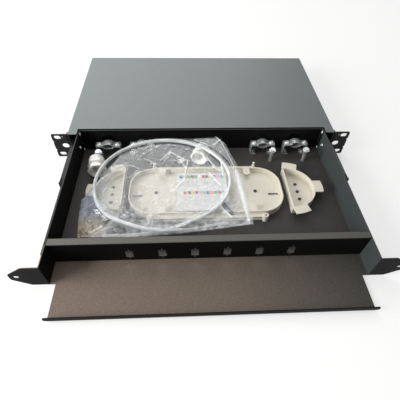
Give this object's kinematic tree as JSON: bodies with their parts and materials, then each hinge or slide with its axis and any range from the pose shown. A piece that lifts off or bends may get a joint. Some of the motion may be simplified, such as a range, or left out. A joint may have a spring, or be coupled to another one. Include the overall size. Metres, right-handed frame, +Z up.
{
  "type": "sliding fibre patch panel",
  "caption": "Rack-mount sliding fibre patch panel: a shallow sheet-metal drawer on telescopic ball slides with an adapter panel, splice trays, fibre guides and cable clamps.",
  "frame": {"origin": "centre of the four rack slots, in the front face of the mounting ears", "axes": "+X to the right seen from the front, +Y into the rack, +Z up"},
  "size_m": [0.4826, 0.5436, 0.0436],
  "materials": {
    "housing_coat": "satin dark grey powder coat",
    "drawer_coat": "satin charcoal powder coat",
    "panel_coat": "satin black powder coat",
    "rail_steel": "dark zinc-plated cold-rolled strip",
    "ball_steel": "polished bearing balls",
    "cage_strip": "thin plated strip",
    "zinc_steel": "bright zinc plate",
    "dark_screw": "blackened screws",
    "bumper_black": "black moulded plastic",
    "ivory_abs": "ivory moulded ABS",
    "white_nylon": "white moulded nylon",
    "clear_tube": "translucent soft tube",
    "clear_film": "clear thin film",
    "card": "white card with coloured patches"
  },
  "bodies": {
    "housing": {"housing_chassis": "housing_coat", "top_cover": "housing_coat", "cover_screws": "zinc_steel", "left_rack_ear": "panel_coat", "right_rack_ear": "panel_coat", "ear_screws": "zinc_steel", "left_outer_rail": "rail_steel", "right_outer_rail": "rail_steel", "outer_rail_screws": "zinc_steel"},
    "left_slide_middle": {"left_middle_rail": "rail_steel", "left_rail_bumper": "bumper_black"},
    "left_outer_ball_cage": {"left_outer_cage": "cage_strip", "left_outer_balls": "ball_steel"},
    "left_inner_ball_cage": {"left_inner_cage": "cage_strip", "left_inner_balls": "ball_steel"},
    "right_slide_middle": {"right_middle_rail": "rail_steel", "right_rail_bumper": "bumper_black"},
    "right_outer_ball_cage": {"right_outer_cage": "cage_strip", "right_outer_balls": "ball_steel"},
    "right_inner_ball_cage": {"right_inner_cage": "cage_strip", "right_inner_balls": "ball_steel"},
    "drawer": {"adapter_panel": "panel_coat", "clamp_base_1": "zinc_steel", "clamp_base_2": "zinc_steel", "clamp_base_3": "zinc_steel", "clamp_base_4": "zinc_steel", "clamp_foot_screws": "zinc_steel", "clamp_screws": "zinc_steel", "clamp_strap_1": "zinc_steel", "clamp_strap_2": "zinc_steel", "clamp_strap_3": "zinc_steel", "clamp_strap_4": "zinc_steel", "drawer_tray": "drawer_coat", "gland_bodies": "white_nylon", "gland_dome_nuts": "white_nylon", "gland_lock_nuts": "white_nylon", "guide_screws": "dark_screw", "inner_rail_screws": "zinc_steel", "kit_bag": "clear_film", "kit_clip": "bumper_black", "kit_tube_coil": "clear_tube", "kit_tube_end_left": "clear_tube", "kit_tube_end_right": "clear_tube", "label_card": "card", "left_fibre_guide": "ivory_abs", "left_inner_rail": "rail_steel", "panel_rivets": "dark_screw", "post_bolts": "zinc_steel", "rear_panel": "drawer_coat", "rear_panel_rivets": "zinc_steel", "right_fibre_guide": "ivory_abs", "right_inner_rail": "rail_steel", "splice_comb": "ivory_abs", "splice_tray_lower": "ivory_abs", "splice_tray_upper": "ivory_abs", "strength_posts": "zinc_steel", "tray_screws": "zinc_steel"}
  },
  "joints": [
    {"name": "drawer_slide", "type": "slide", "parent": "housing", "child": "drawer", "axis": [0, 1, 0], "range_m": [0, 0.24]},
    {"name": "left_slide_middle_slide", "type": "slide", "parent": "housing", "child": "left_slide_middle", "axis": [0, 1, 0], "range_m": [0, 0.12]},
    {"name": "left_outer_ball_cage_slide", "type": "slide", "parent": "housing", "child": "left_outer_ball_cage", "axis": [0, 1, 0], "range_m": [0, 0.06]},
    {"name": "left_inner_ball_cage_slide", "type": "slide", "parent": "housing", "child": "left_inner_ball_cage", "axis": [0, 1, 0], "range_m": [0, 0.18]},
    {"name": "right_slide_middle_slide", "type": "slide", "parent": "housing", "child": "right_slide_middle", "axis": [0, 1, 0], "range_m": [0, 0.12]},
    {"name": "right_outer_ball_cage_slide", "type": "slide", "parent": "housing", "child": "right_outer_ball_cage", "axis": [0, 1, 0], "range_m": [0, 0.06]},
    {"name": "right_inner_ball_cage_slide", "type": "slide", "parent": "housing", "child": "right_inner_ball_cage", "axis": [0, 1, 0], "range_m": [0, 0.18]}
  ],
  "couplings": [
    {"joint": "left_slide_middle_slide", "follows": "drawer_slide", "ratio": 0.5},
    {"joint": "left_outer_ball_cage_slide", "follows": "drawer_slide", "ratio": 0.25},
    {"joint": "left_inner_ball_cage_slide", "follows": "drawer_slide", "ratio": 0.75},
    {"joint": "right_slide_middle_slide", "follows": "drawer_slide", "ratio": 0.5},
    {"joint": "right_outer_ball_cage_slide", "follows": "drawer_slide", "ratio": 0.25},
    {"joint": "right_inner_ball_cage_slide", "follows": "drawer_slide", "ratio": 0.75}
  ]
}
